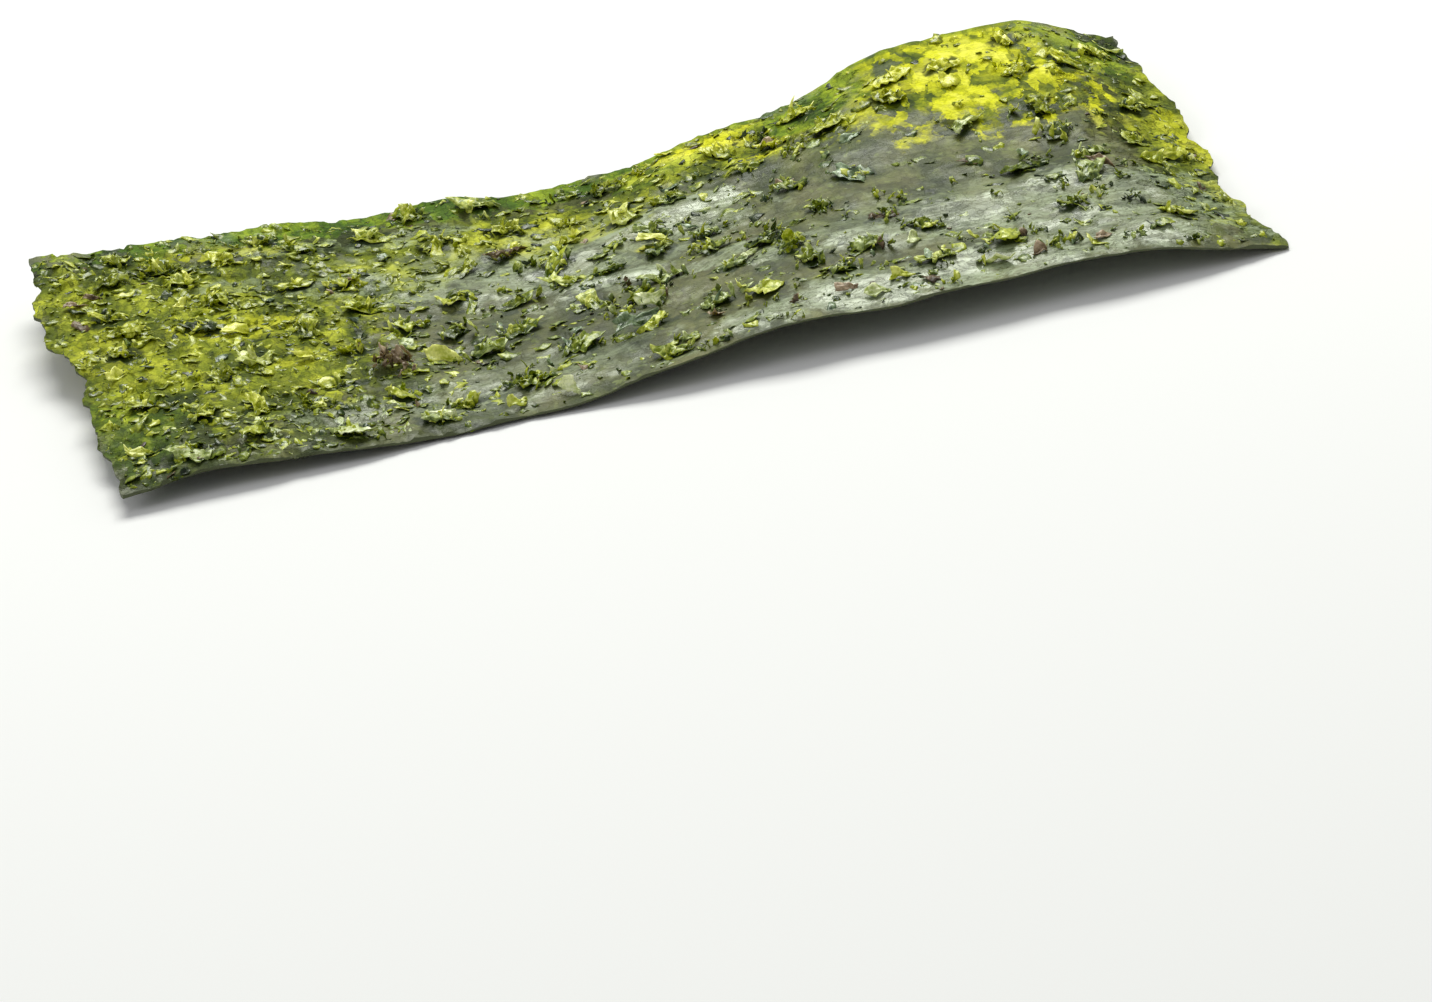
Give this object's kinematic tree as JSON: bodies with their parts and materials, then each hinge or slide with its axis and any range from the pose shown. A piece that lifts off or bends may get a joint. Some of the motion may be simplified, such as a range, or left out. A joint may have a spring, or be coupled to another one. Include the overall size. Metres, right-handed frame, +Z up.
{
  "type": "nori sheet",
  "caption": "Thin crisp rectangular sheet of toasted pressed seaweed, gently wavy, with torn short edges and curled flakes on top, for wrapping rice or eating as a snack.",
  "frame": {"origin": "middle of the sheet's outline, on the surface that it lies on", "axes": "+X along the long side from the left torn edge to the right one, +Y from the front cut edge to the back one, +Z up, away from the surface"},
  "size_m": [0.0974, 0.0532, 0.0074],
  "materials": {
    "leaf": "satin",
    "olive_flakes": "satin",
    "pale_flakes": "satin",
    "dark_flakes": "satin",
    "brown_flakes": "matte"
  },
  "bodies": {
    "root": {"nori_sheet": "leaf"}
  },
  "joints": []
}
